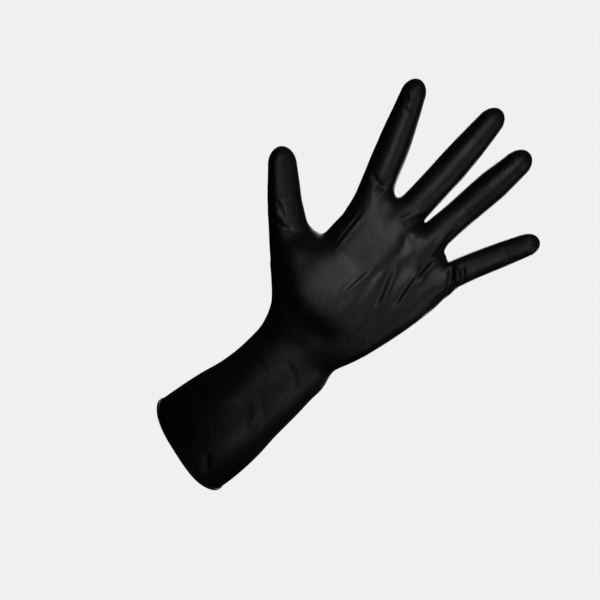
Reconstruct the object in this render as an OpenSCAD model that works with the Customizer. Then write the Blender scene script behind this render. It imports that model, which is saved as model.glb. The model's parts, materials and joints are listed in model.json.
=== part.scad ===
// Long-cuff disposable glove in the shape it takes on a spread left hand.
// The origin is the centre of the cuff's opening. +Z runs up the forearm to the fingers,
// the palm faces -Y and the thumb points to -X. Everything is in millimetres.
// The glove is one dipped film, so each node is a region of that film: stiff-shaped regions
// between the joints, and folding regions over the joints, where the film wrinkles.

/* [Film] */
// Thickness of the film
film = 0.5; // [0.4:0.05:0.8]
// Clear space between neighbouring regions
seam = 0.3; // [0.2:0.05:0.4]
// Half height of a folding region beside its hinge
fold_half = 1.6; // [1.4:0.1:2.4]

/* [Cuff] */
// Inner radius of the cuff at its opening
cuff_r = 31.7; // [30:0.1:34]
// Height of the round band at the opening
band_h = 14; // [10:1:20]
// Radius of the rolled bead round the opening
bead_r = 0.7; // [0.5:0.1:1]

/* [Wrist] */
// Wrist hinge, sideways and up
wrist_at = [-7, 88]; // [-10:1:92]
// Half width and half depth at the wrist
wrist_half = [28, 20]; // [18:0.5:30]
// Bending and straightening of the wrist, in degrees
wrist_bend = [65, 55]; // [40:1:70]

/* [Palm] */
// Ball at the heel of the hand, sideways and up, and its radius
heel_at = [1.5, 112]; // [-10:0.5:120]
heel_r = 15.5; // [12:0.5:18]
// Ball at the little finger's side, sideways and up, and its radius
edge_at = [6, 145]; // [0:0.5:150]
edge_r = 14; // [12:0.5:16]
// Ball of the thumb, sideways, forwards and up, and its radius
thenar_at = [-26, -2, 112]; // [-30:0.5:120]
thenar_r = 17; // [14:0.5:19]
// Ball beside the thumb's web, sideways and up, and its radius
web_at = [-49, 150]; // [-55:0.5:155]
web_r = 10; // [8:0.5:12]
// Ball at the web's edge, sideways and up, and its radius
web_edge_at = [-58, 146]; // [-62:0.5:150]
web_edge_r = 4.5; // [3:0.5:6]
// Radius of the palm at the index finger's knuckle, and at the other knuckles
knuckle_r = [10.3, 10.8]; // [9:0.1:12]

/* [Fingers] */
// Bending of knuckle, middle and end joints, in degrees
finger_flex = [75, 95, 62]; // [40:1:100]
// Straightening past the line of the hand, in degrees
finger_back = [12, 0, 0]; // [0:1:15]
// Bend of the joints as the hand is held open, in degrees
finger_rest = [3, 7, 5]; // [0:1:12]
// Turn of each finger's palm side towards the thumb or away from it, index to little, in degrees
finger_roll = [-15, 0, 0, 15]; // [-15:15:15]
// Depth of a finger over its width, at three joints and the tip
finger_depth = [1.12, 0.95, 0.88, 0.84]; // [0.7:0.01:1.2]

/* [Index finger] */
// Knuckle, sideways and up
index_at = [-51, 178]; // [-60:1:190]
// Lean of the finger, in degrees
index_lean = -32; // [-36:1:-28]
// Lengths of the three regions
index_len = [41, 24, 24]; // [15:0.5:50]
// Half widths at the three joints and near the tip
index_half = [8.8, 9.5, 8.4, 7.7]; // [6:0.1:10]

/* [Middle finger] */
// Knuckle, sideways and up
middle_at = [-34, 185]; // [-60:1:190]
// Lean of the finger, in degrees
middle_lean = -11.6; // [-14:0.1:-9]
// Lengths of the three regions
middle_len = [44.5, 28, 27]; // [15:0.5:50]
// Half widths at the three joints and near the tip
middle_half = [9.1, 9.6, 8.8, 7.9]; // [6:0.1:10]

/* [Ring finger] */
// Knuckle, sideways and up
ring_at = [-14, 183]; // [-60:1:190]
// Lean of the finger, in degrees
ring_lean = -5.8; // [-8:0.1:-3]
// Lengths of the three regions
ring_len = [43, 28, 27]; // [15:0.5:50]
// Half widths at the three joints and near the tip
ring_half = [9.4, 9.3, 8.7, 7.9]; // [6:0.1:10]

/* [Little finger] */
// Knuckle, sideways and up
little_at = [5, 175]; // [-60:1:190]
// Lean of the finger, in degrees
little_lean = 12; // [9:1:16]
// Lengths of the three regions
little_len = [36, 22, 24]; // [15:0.5:50]
// Half widths at the three joints and near the tip
little_half = [9, 7.9, 7.3, 6.6]; // [6:0.1:10]

/* [Thumb] */
// Joint at the root of the thumb, sideways and up
thumb_at = [-23, 104]; // [-30:1:110]
// Lean of the thumb, in degrees
thumb_lean = -62.3; // [-66:0.1:-58]
// Lengths of the three regions
thumb_len = [44, 32, 32]; // [25:0.5:50]
// Half widths at the root, the two joints and near the tip
thumb_half = [17, 12.2, 10.8, 9.4]; // [8:0.1:18]
// Depth over width at the root, the two joints and the tip
thumb_depth = [0.86, 1, 0.9, 0.82]; // [0.7:0.01:1]
// Bending of the root, knuckle and end joints, in degrees
thumb_flex = [40, 50, 72]; // [30:1:80]
// Straightening past the line of the hand, in degrees
thumb_back = [8, 0, 0]; // [0:1:10]
// Bend of the joints as the hand is held open, in degrees
thumb_rest = [0, 6, 6]; // [0:1:12]
// Turn of the thumb's pad towards the palm, in degrees
thumb_roll = 45; // [30:15:60]
// Distance from the root joint to where the thumb leaves the palm
thumb_start = 20; // [18:1:24]

/* [Hidden] */

FINGER_SIDES = 24;      // points round a finger's ring
CUFF_SIDES = 36;        // points round the cuff's rings
CUFF_RINGS = 6;         // steps up the cuff's sleeve
DOME_RINGS = 5;         // steps up the rounded end of a tip
ROUND = 96;             // facets of the turned band and bead
BALL = 24;              // facets of the balls that shape the palm
REACH = 40;             // how far a cutting shape passes the film
TOUCH = 0.02;           // hairline between the bead and the band
DOME_RISE = 1.15;       // height of a tip's rounded end over its half width
ROOT_RISE = 1.25;       // where the thumb's root room starts to narrow, over thumb_start
WEB_GAP = 0.6;          // space between the thumb and its web
WEB_FOOT = 24;          // where the web starts, from the thumb's root joint
WEB_W = 22;             // how far the web reaches from the thumb's middle line
// How far past each knuckle's sides the palm's film ends, on the thumb's side and on the other
SECTORS = [[9, 5.5], [5.5, 3], [3, 6], [1.5, 9]];
// Shades of the cuff, of the regions that keep their shape, and of the folding regions
CUFF_SHADE = "#0c0c0e";
FILM_SHADE = "#1c1c20";
FOLD_SHADE = "#101012";

// Entries of a digit's list
PLACE = 0; LEAN = 1; LENGTHS = 2; HALVES = 3; DEPTHS = 4; FLEX = 5; BACK = 6; REST = 7; ROLL = 8; START = 9;

function finger(i, at, lean, lengths, halves) = [at, lean, lengths, halves, finger_depth, finger_flex,
    finger_back, finger_rest, [finger_roll[i], 0, 0], 0];

INDEX = finger(0, index_at, index_lean, index_len, index_half);
MIDDLE = finger(1, middle_at, middle_lean, middle_len, middle_half);
RING = finger(2, ring_at, ring_lean, ring_len, ring_half);
LITTLE = finger(3, little_at, little_lean, little_len, little_half);
FINGERS = [INDEX, MIDDLE, RING, LITTLE];
THUMB = [thumb_at, thumb_lean, thumb_len, thumb_half, thumb_depth, thumb_flex, thumb_back, thumb_rest,
    [0, thumb_roll, 0], thumb_start];

// ---- Hinges -------------------------------------------------------------------------------

// How far a film's edge stands back from its hinge at s mm behind the hinge line. The palm
// side (s < 0) stands back to leave room for bending, the other side for straightening.
function setback(s, bend) = fold_half + (s < 0 ? -s * tan(bend[0] / 2) : s * tan(bend[1] / 2));

function bend_of(d, k) = [d[FLEX][k], d[BACK][k]];
function half_w(d, k) = d[HALVES][k];
function half_d(d, k) = d[HALVES][k] * d[DEPTHS][k];
// Height of joint k's folding region in the frame below the joint
function joint_height(d, k) = k == 0 ? d[START] : d[LENGTHS][k - 1];

// ---- Rings of points ----------------------------------------------------------------------

function turn(i, sides) = 360 * i / sides;

// A ring whose height follows a hinge: sign -1 for the edge under the hinge, 1 for over it
function edge(a, b, height, sign, bend, roll, inset, clear, sides) =
    [for (i = [0 : sides - 1]) let (f = turn(i, sides), s = b * sin(f) * cos(roll) - a * cos(f) * sin(roll))
        [(a - inset) * cos(f), (b - inset) * sin(f), height + sign * (setback(s, bend) - clear)]];

// The same ring shifted round by an angle, so that two frames turned apart share their points
function edge_from(a, b, height, sign, bend, angle, inset, clear, sides) =
    [for (i = [0 : sides - 1]) let (f = turn(i, sides) - angle, s = b * sin(f))
        [(a - inset) * cos(f), (b - inset) * sin(f), height + sign * (setback(s, bend) - clear)]];

function plain_ring(a, b, cx, z, sides) =
    [for (i = [0 : sides - 1]) let (f = turn(i, sides)) [cx + a * cos(f), b * sin(f), z]];

// Points turned about X by bend and then about Z by roll, and lifted
function moved(points, bend, roll, lift) =
    [for (p = points) let (y = p[1] * cos(bend) - p[2] * sin(bend), z = p[1] * sin(bend) + p[2] * cos(bend))
        [p[0] * cos(roll) - y * sin(roll), p[0] * sin(roll) + y * cos(roll), z + lift]];

function flat(rings) = [for (r = rings) for (p = r) p];

// Two triangles for each step round and each step from ring to ring
function skin(from, to, sides) = [for (i = [0 : sides - 1]) let (j = (i + 1) % sides)
    each [[from + i, from + j, to + j], [from + i, to + j, to + i]]];

// A closed wall of film: rings go up the outside and down the inside, and meet again
module film_wall(rings, sides) {
    count = len(rings);
    polyhedron(flat(rings), [for (k = [0 : count - 1])
        each [for (t = skin(k * sides, ((k + 1) % count) * sides, sides)) [t[0], t[2], t[1]]]]);
}

// A closed pocket of film: rings run from the outer pole down the outside, up the inside
module film_pocket(outer_pole, rings, inner_pole, sides) {
    count = len(rings);
    poles = count * sides;
    polyhedron(concat(flat(rings), [outer_pole, inner_pole]), concat(
        [for (k = [0 : count - 2]) each skin(k * sides, (k + 1) * sides, sides)],
        [for (i = [0 : sides - 1]) [poles, (i + 1) % sides, i]],
        [for (i = [0 : sides - 1]) let (last = (count - 1) * sides)
            [poles + 1, last + i, last + (i + 1) % sides]]));
}

// ---- Digits -------------------------------------------------------------------------------

// Puts its children in the frame of region k of a digit; 0 is the frame of the hand at the knuckle
module in_digit(d, k) {
    if (k == 0) translate([d[PLACE][0], 0, d[PLACE][1]]) rotate([0, d[LEAN], 0]) children();
    else in_digit(d, k - 1) translate([0, 0, k == 1 ? 0 : d[LENGTHS][k - 2]])
        rotate([0, 0, d[ROLL][k - 1]]) rotate([d[REST][k - 1], 0, 0]) children();
}

// The film between joints k - 1 and k
module segment(d, k) {
    low = k == 1 ? d[START] : 0;
    function foot(inset) = edge(half_w(d, k - 1), half_d(d, k - 1), low, 1, bend_of(d, k - 1), 0, inset, 0,
        FINGER_SIDES);
    function head(inset) = edge(half_w(d, k), half_d(d, k), d[LENGTHS][k - 1], -1, bend_of(d, k), d[ROLL][k],
        inset, 0, FINGER_SIDES);
    in_digit(d, k) film_wall([foot(0), head(0), head(film), foot(film)], FINGER_SIDES);
}

// The folding film over joint k, which meets the regions on both sides
module fold(d, k) {
    height = joint_height(d, k);
    lift = k == 0 ? 0 : height;
    function under(inset) = edge(half_w(d, k), half_d(d, k), height, -1, bend_of(d, k), d[ROLL][k], inset,
        seam, FINGER_SIDES);
    function waist(inset) = plain_ring(half_w(d, k) - inset, half_d(d, k) - inset, 0, height, FINGER_SIDES);
    function over(inset) = moved(edge_from(half_w(d, k), half_d(d, k), height - lift, 1, bend_of(d, k),
        d[ROLL][k], inset, seam, FINGER_SIDES), d[REST][k], d[ROLL][k], lift);
    in_digit(d, k) film_wall([under(0), waist(0), over(0), over(film), waist(film), under(film)],
        FINGER_SIDES);
}

// The closed end of a digit
module tip(d) {
    length = d[LENGTHS][2];
    a = half_w(d, 3);
    b = half_d(d, 3);
    shoulder = length - a * DOME_RISE;
    function foot(inset) = edge(half_w(d, 2), half_d(d, 2), 0, 1, bend_of(d, 2), 0, inset, 0, FINGER_SIDES);
    function dome(k, inset) = let (f = 90 * k / DOME_RINGS)
        plain_ring((a - inset) * cos(f), (b - inset) * cos(f), 0, shoulder + (length - inset - shoulder)
            * sin(f), FINGER_SIDES);
    in_digit(d, 3) film_pocket([0, 0, length],
        concat([for (k = [DOME_RINGS - 1 : -1 : 0]) dome(k, 0)], [foot(0), foot(film)],
            [for (k = [0 : DOME_RINGS - 1]) dome(k, film)]),
        [0, 0, length - film], FINGER_SIDES);
}

// ---- Cuff and wrist -----------------------------------------------------------------------

// How far up the sleeve a height is, as the share of the narrowing done by then
function narrowing(z) = let (u = z / wrist_at[1]) u * u * (3 - 2 * u);
function sleeve_w(z) = cuff_r + film + (wrist_half[0] - cuff_r - film) * narrowing(z);
function sleeve_d(z) = cuff_r + film + (wrist_half[1] - cuff_r - film) * narrowing(z);
function sleeve_x(z) = wrist_at[0] * narrowing(z);

module wrist_frame() translate([wrist_at[0], 0, wrist_at[1]]) children();

module cuff_bead() {
    color(CUFF_SHADE) rotate_extrude($fn = ROUND)
        translate([cuff_r + film + bead_r + TOUCH, bead_r]) circle(r = bead_r, $fn = BALL);
}

module cuff_band() {
    color(CUFF_SHADE) rotate_extrude($fn = ROUND) translate([cuff_r, 0]) square([film, band_h]);
}

module cuff_sleeve() {
    top = wrist_at[1];
    head_d = wrist_half[1];
    // Ring k of the sleeve, whose height at each point runs evenly from the band to the edge
    function course(k, inset) = [for (i = [0 : CUFF_SIDES - 1])
        let (f = turn(i, CUFF_SIDES), goal = top - setback(head_d * sin(f), wrist_bend),
            z = band_h + (goal - band_h) * k / CUFF_RINGS)
        [sleeve_x(z) + (sleeve_w(z) - inset) * cos(f), (sleeve_d(z) - inset) * sin(f), z]];
    color(CUFF_SHADE) film_wall(concat([for (k = [0 : CUFF_RINGS]) course(k, 0)],
        [for (k = [CUFF_RINGS : -1 : 0]) course(k, film)]), CUFF_SIDES);
}

module wrist_fold() {
    a = wrist_half[0];
    b = wrist_half[1];
    function rim(sign, inset) = edge(a, b, 0, sign, wrist_bend, 0, inset, seam, CUFF_SIDES);
    function waist(inset) = plain_ring(a - inset, b - inset, 0, 0, CUFF_SIDES);
    color(FOLD_SHADE) wrist_frame()
        film_wall([rim(-1, 0), waist(0), rim(1, 0), rim(1, film), waist(film), rim(-1, film)], CUFF_SIDES);
}

// ---- Palm ---------------------------------------------------------------------------------

module ball(x, y, z, r) translate([x, y, z]) sphere(r = r, $fn = BALL);

// The solid outline of the palm, drawn in by inset
module palm_body(inset) {
    module wrist_ball(side)
        ball(wrist_at[0] + side * (wrist_half[0] - wrist_half[1]), 0, wrist_at[1], wrist_half[1] - inset);
    module heel_ball() ball(heel_at[0], 0, heel_at[1], heel_r - inset);
    module edge_ball() ball(edge_at[0], 0, edge_at[1], edge_r - inset);
    module thenar_ball() ball(thenar_at[0], thenar_at[1], thenar_at[2], thenar_r - inset);
    module web_ball() ball(web_at[0], 0, web_at[1], web_r - inset);
    module web_edge_ball() ball(web_edge_at[0], 0, web_edge_at[1], web_edge_r - inset);
    module knuckle_ball(d, r) ball(d[PLACE][0], 0, d[PLACE][1], r - inset);
    hull() { wrist_ball(-1); wrist_ball(1); thenar_ball(); heel_ball(); }
    hull() { thenar_ball(); heel_ball(); edge_ball(); web_ball(); }
    hull() { edge_ball(); web_ball(); knuckle_ball(INDEX, knuckle_r[0]); knuckle_ball(MIDDLE, knuckle_r[1]); }
    hull() { thenar_ball(); web_ball(); web_edge_ball(); }
    hull() { edge_ball(); for (d = [MIDDLE, RING, LITTLE]) knuckle_ball(d, knuckle_r[1]); }
}

// All that lies past a hinge's edge, from low_x to high_x along the hinge
module past_hinge(height, bend, low_x, high_x) {
    rotate([90, 0, 90]) translate([0, 0, low_x]) linear_extrude(high_x - low_x)
        polygon([[-REACH, height - setback(-REACH, bend)], [0, height - fold_half],
            [REACH, height - setback(REACH, bend)], [REACH, height + REACH * 3],
            [-REACH, height + REACH * 3]]);
}

// The whole film of the palm, before its openings
module palm_film() {
    difference() {
        palm_body(0);
        palm_body(film);
    }
}

// The part of the palm that the thumb's own film replaces
module thumb_opening() {
    in_digit(THUMB, 0) intersection() {
        past_hinge(thumb_start, bend_of(THUMB, 0), -REACH * 2, REACH);
        thumb_space();
    }
}

// The web between the thumb and the index finger, in the thumb's frame, drawn in by clear
module web_zone(clear) {
    in_digit(THUMB, 0) rotate([90, 0, 0]) linear_extrude(REACH * 2, center = true)
        polygon([[-REACH * 2, WEB_FOOT + clear], [WEB_W - clear, WEB_FOOT + clear],
            [WEB_W - clear, REACH * 2], [-REACH * 2, REACH * 2]]);
}

// The room that the thumb's tube needs beside the web, in the thumb's own frame
module thumb_space() {
    root = half_w(THUMB, 0) + WEB_GAP;
    knuckle = half_w(THUMB, 1) + WEB_GAP;
    rotate([90, 0, 0]) linear_extrude(REACH * 2, center = true)
        polygon([[-REACH * 2, 0], [root, 0], [root, thumb_start * ROOT_RISE], [knuckle, thumb_len[0]],
            [knuckle, REACH * 3], [-REACH * 2, REACH * 3]]);
}

module palm() {
    color(FILM_SHADE) difference() {
        palm_film();
        wrist_frame() mirror([0, 0, 1]) past_hinge(0, wrist_bend, -REACH, REACH);
        for (i = [0 : 3]) let (d = FINGERS[i]) in_digit(d, 0) rotate([0, 0, d[ROLL][0]])
            past_hinge(0, bend_of(d, 0), -half_w(d, 0) - SECTORS[i][0], half_w(d, 0) + SECTORS[i][1]);
        thumb_opening();
        web_zone(0);
    }
}

// The film of the palm that folds between the thumb and the index finger
module thumb_web() {
    color(FOLD_SHADE) difference() {
        intersection() {
            palm_film();
            web_zone(seam);
        }
        thumb_opening();
    }
}

// ---- Nodes --------------------------------------------------------------------------------

module shade(tone) color(tone) children();

module thumb_root_fold() shade(FOLD_SHADE) fold(THUMB, 0);
module thumb_base() shade(FILM_SHADE) segment(THUMB, 1);
module thumb_knuckle_fold() shade(FOLD_SHADE) fold(THUMB, 1);
module thumb_middle() shade(FILM_SHADE) segment(THUMB, 2);
module thumb_end_fold() shade(FOLD_SHADE) fold(THUMB, 2);
module thumb_tip() shade(FILM_SHADE) tip(THUMB);

module index_knuckle_fold() shade(FOLD_SHADE) fold(INDEX, 0);
module index_base() shade(FILM_SHADE) segment(INDEX, 1);
module index_middle_fold() shade(FOLD_SHADE) fold(INDEX, 1);
module index_middle() shade(FILM_SHADE) segment(INDEX, 2);
module index_end_fold() shade(FOLD_SHADE) fold(INDEX, 2);
module index_tip() shade(FILM_SHADE) tip(INDEX);

module middle_knuckle_fold() shade(FOLD_SHADE) fold(MIDDLE, 0);
module middle_base() shade(FILM_SHADE) segment(MIDDLE, 1);
module middle_middle_fold() shade(FOLD_SHADE) fold(MIDDLE, 1);
module middle_middle() shade(FILM_SHADE) segment(MIDDLE, 2);
module middle_end_fold() shade(FOLD_SHADE) fold(MIDDLE, 2);
module middle_tip() shade(FILM_SHADE) tip(MIDDLE);

module ring_knuckle_fold() shade(FOLD_SHADE) fold(RING, 0);
module ring_base() shade(FILM_SHADE) segment(RING, 1);
module ring_middle_fold() shade(FOLD_SHADE) fold(RING, 1);
module ring_middle() shade(FILM_SHADE) segment(RING, 2);
module ring_end_fold() shade(FOLD_SHADE) fold(RING, 2);
module ring_tip() shade(FILM_SHADE) tip(RING);

module little_knuckle_fold() shade(FOLD_SHADE) fold(LITTLE, 0);
module little_base() shade(FILM_SHADE) segment(LITTLE, 1);
module little_middle_fold() shade(FOLD_SHADE) fold(LITTLE, 1);
module little_middle() shade(FILM_SHADE) segment(LITTLE, 2);
module little_end_fold() shade(FOLD_SHADE) fold(LITTLE, 2);
module little_tip() shade(FILM_SHADE) tip(LITTLE);

cuff_bead();
cuff_band();
cuff_sleeve();
wrist_fold();
palm();
thumb_web();
thumb_root_fold();
thumb_base();
thumb_knuckle_fold();
thumb_middle();
thumb_end_fold();
thumb_tip();
index_knuckle_fold();
index_base();
index_middle_fold();
index_middle();
index_end_fold();
index_tip();
middle_knuckle_fold();
middle_base();
middle_middle_fold();
middle_middle();
middle_end_fold();
middle_tip();
ring_knuckle_fold();
ring_base();
ring_middle_fold();
ring_middle();
ring_end_fold();
ring_tip();
little_knuckle_fold();
little_base();
little_middle_fold();
little_middle();
little_end_fold();
little_tip();
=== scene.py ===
"""Builds the looks of a black disposable long-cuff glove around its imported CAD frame.

The film is one closed surface drawn over the form of an open left hand. The form is a distance
field of limbs and pads whose joints are the frame's own joints. The surface is taken from the
field, wrinkled, given its thickness, and divided where the joints bend it.
"""

import json
import logging
import math
from collections.abc import Callable
from dataclasses import dataclass, field
from enum import Enum

import bmesh
import bpy
import numpy as np
from mathutils import Matrix, Vector
from mathutils.kdtree import KDTree


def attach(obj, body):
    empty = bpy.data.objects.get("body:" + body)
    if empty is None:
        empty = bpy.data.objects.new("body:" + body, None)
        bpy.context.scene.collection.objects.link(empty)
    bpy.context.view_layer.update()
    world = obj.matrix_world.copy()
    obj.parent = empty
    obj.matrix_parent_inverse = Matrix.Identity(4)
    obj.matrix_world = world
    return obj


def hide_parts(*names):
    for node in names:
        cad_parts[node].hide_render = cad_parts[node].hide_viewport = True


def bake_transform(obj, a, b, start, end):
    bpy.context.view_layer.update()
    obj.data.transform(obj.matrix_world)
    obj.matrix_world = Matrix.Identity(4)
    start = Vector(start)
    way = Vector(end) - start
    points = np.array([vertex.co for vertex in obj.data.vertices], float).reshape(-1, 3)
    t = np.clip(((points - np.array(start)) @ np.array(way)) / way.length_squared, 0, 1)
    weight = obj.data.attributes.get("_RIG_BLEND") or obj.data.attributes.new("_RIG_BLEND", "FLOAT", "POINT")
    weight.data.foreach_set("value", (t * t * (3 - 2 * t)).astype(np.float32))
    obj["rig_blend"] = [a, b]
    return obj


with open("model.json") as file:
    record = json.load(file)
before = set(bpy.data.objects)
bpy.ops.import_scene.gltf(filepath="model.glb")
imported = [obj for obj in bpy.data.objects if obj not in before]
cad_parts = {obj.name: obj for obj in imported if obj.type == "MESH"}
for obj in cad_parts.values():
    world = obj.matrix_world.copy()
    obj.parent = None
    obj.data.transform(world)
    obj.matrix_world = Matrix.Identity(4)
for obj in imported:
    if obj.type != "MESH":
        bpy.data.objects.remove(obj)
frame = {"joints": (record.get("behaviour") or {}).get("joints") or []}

LOG = logging.getLogger("glove")
MM = 0.001

# Shares of the way to its neighbours' mean that a vertex goes in a pair of relaxing passes.
SMOOTH, UNSHRINK = 0.5, -0.53
# Part of a normal along Y from which a face wholly belongs to its side of the hand.
FACING = 0.5

Array = np.ndarray


class Side(Enum):
    """The face of the hand that a crease lies on."""

    PALM = -1.0
    BACK = 1.0


# ---- Small helpers ------------------------------------------------------------------------


def vec(*values: float) -> Array:
    """Packs numbers into a float array."""
    return np.array(values, float)


def unit(v: Array) -> Array:
    """Scales a vector to length one."""
    return v / np.linalg.norm(v)


def unit_rows(v: Array) -> Array:
    """Scales each row to length one."""
    return v / (np.linalg.norm(v, axis=1, keepdims=True) + 1e-12)


def flat(v: Array) -> Array:
    """A vector without its part along Y, as the palm is seen."""
    return v * vec(1.0, 0.0, 1.0)


def seen(points: list[Array]) -> list[tuple[float, float]]:
    """Points as the pairs (x, z) that a crease's line is made of."""
    return [(float(p[0]), float(p[2])) for p in points]


def ease(x: Array) -> Array:
    """Smooth step from 0 to 1 for x from 0 to 1, flat outside."""
    t = np.clip(x, 0.0, 1.0)
    return t * t * (3.0 - 2.0 * t)


def melt(a: Array, b: Array, width: float) -> Array:
    """Joins two distance fields with a round fillet.

    Args:
        a: One field.
        b: The other field.
        width: Size of the fillet, in millimetres.

    Returns:
        The joined field.
    """
    h = np.clip(0.5 + 0.5 * (b - a) / width, 0.0, 1.0)
    return b + (a - b) * h - width * h * (1.0 - h)


def rounded(parts: list[Array], halves: list[Array], power: float) -> Array:
    """Distance field of a rounded block.

    Args:
        parts: Coordinates of the points along the block's own directions.
        halves: The block's half size along each of them.
        power: Exponent of its sections; 2 is an ellipsoid, and more is squarer.

    Returns:
        The field, negative inside.
    """
    shares = [np.abs(p) / h for p, h in zip(parts, halves)]
    q = sum(o**power for o in shares) ** (1.0 / power) + 1e-6
    slope = np.sqrt(sum(((o / q) ** (power - 1.0) / h) ** 2 for o, h in zip(shares, halves)))
    return (q - 1.0) / (slope + 1e-3)


def turned(v: Array, axis: Array, degrees: float) -> Array:
    """Turns a vector about an axis by the right-hand rule."""
    return np.array(Matrix.Rotation(math.radians(degrees), 3, Vector(axis)) @ Vector(v))


def compact(quads: Array, count: int) -> tuple[Array, Array]:
    """Numbers the vertices that some faces use afresh.

    Args:
        quads: The faces.
        count: Number of vertices that there are.

    Returns:
        The vertices that are used, and the faces in their new numbers.
    """
    used = np.unique(quads)
    number = np.full(count, -1, np.int64)
    number[used] = np.arange(len(used))
    return used, number[quads]


def add_object(name: str, data: bpy.types.ID) -> bpy.types.Object:
    """Adds an object to the scene.

    Args:
        name: Its name.
        data: Its mesh, camera or light.

    Returns:
        The object.
    """
    thing = bpy.data.objects.new(name, data)
    bpy.context.scene.collection.objects.link(thing)
    return thing


def add_sockets(tree: bpy.types.NodeTree, inputs: dict[str, str], outputs: dict[str, str]) -> None:
    """Gives a node group its named sockets.

    Args:
        tree: The group.
        inputs: Name and kind of each input.
        outputs: Name and kind of each output.
    """
    for way, sockets in (("INPUT", inputs), ("OUTPUT", outputs)):
        for name, kind in sockets.items():
            tree.interface.new_socket(name, in_out=way, socket_type="NodeSocket" + kind)


def wire(tree: bpy.types.NodeTree, *rows: tuple) -> None:
    """Links sockets of a node tree.

    Args:
        tree: The tree.
        rows: For each link, a node and its output, then a node and its input.
    """
    for source, leaving, target, entering in rows:
        tree.links.new(source.outputs[leaving], target.inputs[entering])


# ---- The hand's form ----------------------------------------------------------------------


@dataclass
class Limb:
    """A tapering limb with round ends.

    Attributes:
        start: Centre of its first end, in millimetres.
        end: Centre of its last end.
        side: Direction of its width.
        radii: Half widths at its two ends.
        depths: Depth over width at its two ends.
        nose: How much longer than round its last end is.
        square: Exponent of its section; 2 is an ellipse, and more is squarer.
    """

    start: Array
    end: Array
    side: Array
    radii: tuple[float, float]
    depths: tuple[float, float]
    nose: float = 1.0
    square: float = 2.0

    def reach(self) -> tuple[Array, Array]:
        """Lowest and highest corner of the space the limb fills."""
        grow = max(self.radii) * max(1.0, self.nose, *self.depths)
        return np.minimum(self.start, self.end) - grow, np.maximum(self.start, self.end) + grow

    def distance(self, x: Array, y: Array, z: Array) -> Array:
        """Distance field of the limb.

        Args:
            x: X of the points, in millimetres.
            y: Their Y.
            z: Their Z.

        Returns:
            The distance at each point, negative inside.
        """
        along = self.end - self.start
        length = float(np.linalg.norm(along))
        u = along / length
        w = unit(self.side - u * float(self.side @ u))
        d = np.cross(u, w)
        px, py, pz = x - self.start[0], y - self.start[1], z - self.start[2]
        t = px * u[0] + py * u[1] + pz * u[2]
        a = px * w[0] + py * w[1] + pz * w[2]
        b = px * d[0] + py * d[1] + pz * d[2]
        share = np.clip(t / length, 0.0, 1.0)
        r = self.radii[0] + (self.radii[1] - self.radii[0]) * share
        rd = r * (self.depths[0] + (self.depths[1] - self.depths[0]) * share)
        over = t - share * length
        cap = np.where(over > 0, r * self.nose, r)
        p = self.square
        sa, sb, sc = np.abs(a) / r, np.abs(b) / rd, np.abs(over) / cap
        section = (sa**p + sb**p) ** (1.0 / p) + 1e-6
        q = np.hypot(section, sc)
        slope_a, slope_b = (sa / section) ** (p - 1.0) / r, (sb / section) ** (p - 1.0) / rd
        slope = np.sqrt(slope_a**2 + slope_b**2)
        return (q - 1.0) / (np.hypot(slope * section, sc / cap) / q + 1e-3)


@dataclass
class Pad:
    """A rounded block of flesh.

    Attributes:
        centre: Its middle, in millimetres.
        half: Its half sizes along its own three directions.
        lean: Turn about Y of its own frame, in degrees.
        pitch: Turn about X of its own frame, in degrees.
        square: Exponent of its sections; 2 is an ellipsoid, and more is squarer.
    """

    centre: Array
    half: Array
    lean: float = 0.0
    pitch: float = 0.0
    square: float = 2.0

    def reach(self) -> tuple[Array, Array]:
        """Lowest and highest corner of the space the pad fills."""
        grow = float(np.max(self.half))
        return self.centre - grow, self.centre + grow

    def distance(self, x: Array, y: Array, z: Array) -> Array:
        """Distance field of the pad.

        Args:
            x: X of the points, in millimetres.
            y: Their Y.
            z: Their Z.

        Returns:
            The distance at each point, negative inside.
        """
        turn = np.array(Matrix.Rotation(math.radians(self.lean), 3, "Y")
                        @ Matrix.Rotation(math.radians(self.pitch), 3, "X"))
        place = (x - self.centre[0], y - self.centre[1], z - self.centre[2])
        own = [sum(p * t for p, t in zip(place, turn[:, k])) for k in range(3)]
        return rounded(own, list(self.half), self.square)


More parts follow.
